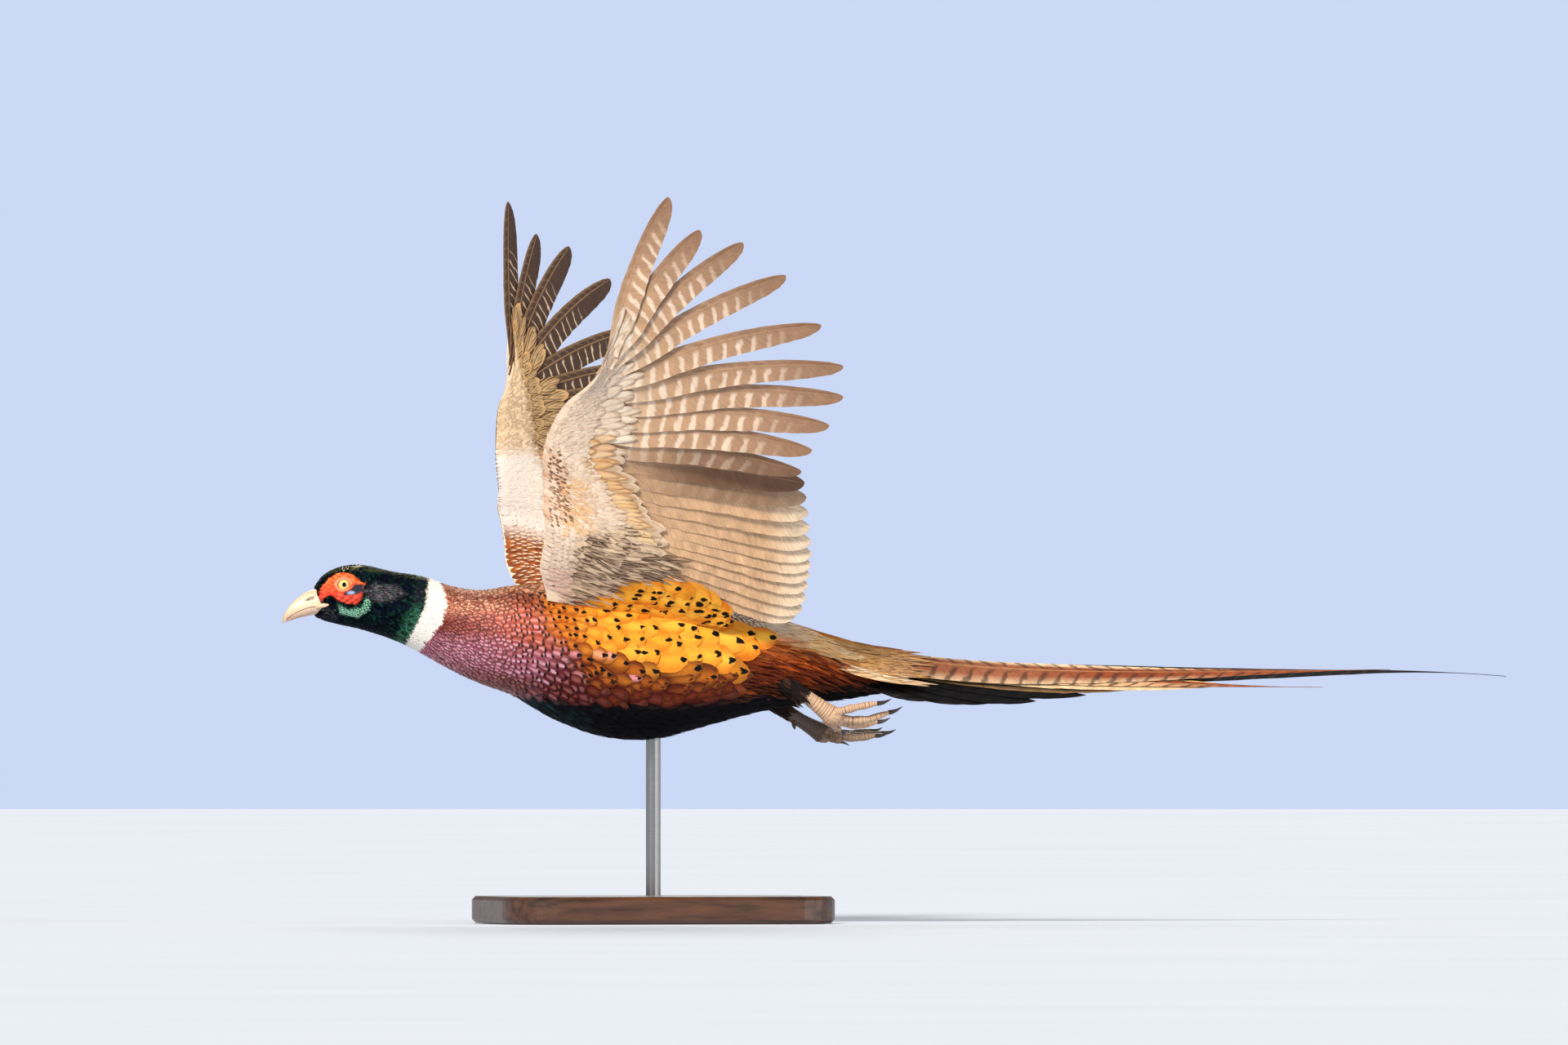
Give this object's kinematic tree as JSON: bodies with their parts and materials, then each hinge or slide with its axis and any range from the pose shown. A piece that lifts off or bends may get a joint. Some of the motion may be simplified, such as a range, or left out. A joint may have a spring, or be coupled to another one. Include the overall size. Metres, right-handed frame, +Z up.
{
  "type": "common pheasant model",
  "caption": "Life-size still model of a cock common pheasant in flight, wings raised, long barred tail, on a plain stand.",
  "frame": {"origin": "middle of the underside of the stand's base", "axes": "+X from the bill towards the tail, +Z up, the bird's left wing on the -Y side"},
  "size_m": [0.8552, 0.4604, 0.4871],
  "materials": {
    "head_feathers": "iridescent dark green and blue plumage with a bare red face",
    "neck_feathers": "purple-copper plumage with a white collar",
    "trunk_feathers": "golden-orange plumage with dark spots, black belly",
    "wing_feathers": "sandy and cream barred vanes",
    "tail_feathers": "buff-brown vanes with dark bars",
    "bill": "pale horn, satin",
    "eye": "glossy, pale yellow iris and black pupil",
    "foot_skin": "scaled cream-grey skin",
    "claw": "dark horn",
    "base_wood": "satin dark wood",
    "rod_metal": "brushed"
  },
  "bodies": {
    "root": {"bill_lower": "bill", "bill_upper": "bill", "claw_left_1": "claw", "claw_left_2": "claw", "claw_left_3": "claw", "claw_left_4": "claw", "claw_right_1": "claw", "claw_right_2": "claw", "claw_right_3": "claw", "claw_right_4": "claw", "eye_left": "eye", "eye_right": "eye", "foot_left": "foot_skin", "foot_right": "foot_skin", "head": "head_feathers", "leg_left": "foot_skin", "leg_right": "foot_skin", "neck": "neck_feathers", "spur_left": "claw", "spur_right": "claw", "stand_base": "base_wood", "stand_rod": "rod_metal", "tail": "tail_feathers", "trunk": "trunk_feathers", "wing_arm_left": "wing_feathers", "wing_arm_right": "wing_feathers", "wing_hand_left": "wing_feathers", "wing_hand_right": "wing_feathers"}
  },
  "joints": []
}
